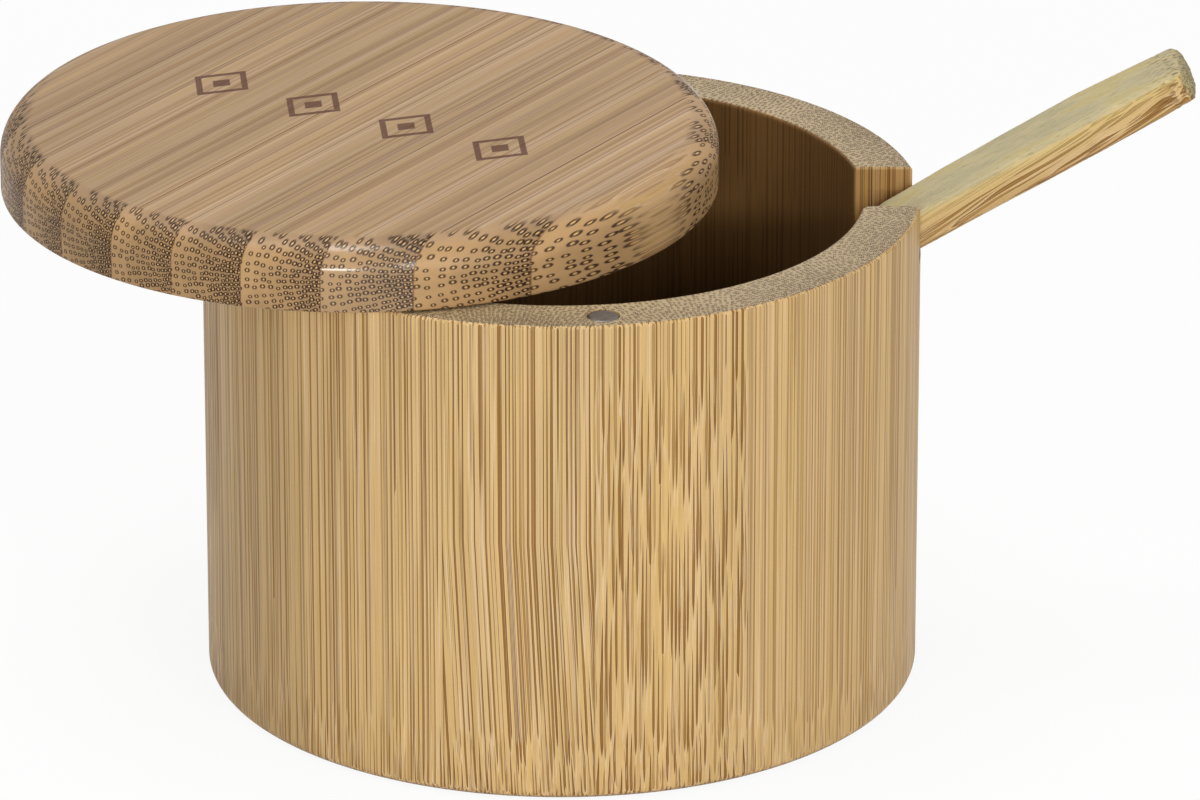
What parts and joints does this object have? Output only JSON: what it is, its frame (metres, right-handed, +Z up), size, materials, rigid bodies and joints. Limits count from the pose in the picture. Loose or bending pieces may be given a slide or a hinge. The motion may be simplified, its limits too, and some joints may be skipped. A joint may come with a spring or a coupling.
{
  "type": "salt cellar",
  "caption": "Round bamboo salt cellar with a flat swivel lid on a pivot pin, held shut by magnets, and a spoon resting in a notch in the rim.",
  "frame": {"origin": "centre of the round foot, on the surface the cup stands on", "axes": "+Z up, +X towards the notch and the spoon handle, +Y towards the back, where the lid pivots"},
  "size_m": [0.1479, 0.0927, 0.0784],
  "materials": {
    "stave_bamboo": "satin, oiled bamboo with the fibres upright",
    "floor_bamboo": "satin, oiled bamboo",
    "lid_bamboo": "satin, lacquered bamboo, glossier on the rounded edge",
    "spoon_bamboo": "matt, bare bamboo",
    "magnet_metal": "satin nickel plate",
    "pin_steel": "smooth"
  },
  "bodies": {
    "cup": {"floor_strip_01": "floor_bamboo", "floor_strip_02": "floor_bamboo", "floor_strip_03": "floor_bamboo", "floor_strip_04": "floor_bamboo", "floor_strip_05": "floor_bamboo", "floor_strip_06": "floor_bamboo", "floor_strip_07": "floor_bamboo", "floor_strip_08": "floor_bamboo", "floor_strip_09": "floor_bamboo", "pivot_pin": "pin_steel", "rim_magnet": "magnet_metal", "stave_01": "stave_bamboo", "stave_02": "stave_bamboo", "stave_03": "stave_bamboo", "stave_04": "stave_bamboo", "stave_05": "stave_bamboo", "stave_06": "stave_bamboo", "stave_07": "stave_bamboo", "stave_08": "stave_bamboo", "stave_09": "stave_bamboo", "stave_10": "stave_bamboo", "stave_11": "stave_bamboo", "stave_12": "stave_bamboo", "stave_13": "stave_bamboo", "stave_14": "stave_bamboo"},
    "lid": {"lid_magnet": "magnet_metal", "lid_strip_01": "lid_bamboo", "lid_strip_02": "lid_bamboo", "lid_strip_03": "lid_bamboo", "lid_strip_04": "lid_bamboo", "lid_strip_05": "lid_bamboo", "lid_strip_06": "lid_bamboo", "lid_strip_07": "lid_bamboo", "lid_strip_08": "lid_bamboo", "lid_strip_09": "lid_bamboo", "lid_strip_10": "lid_bamboo"},
    "spoon": {"spoon": "spoon_bamboo"}
  },
  "joints": [
    {"name": "lid_swivel", "type": "hinge", "parent": "cup", "child": "lid", "pos_m": [-0.00667, 0.04076, 0.0625], "axis": [0, 0, 1], "range_deg": [-204.4, 35.6]},
    {"name": "spoon_lift", "type": "slide", "parent": "cup", "child": "spoon", "axis": [0.7706, 0.0404, 0.6361], "range_m": [0, 0.115]}
  ]
}
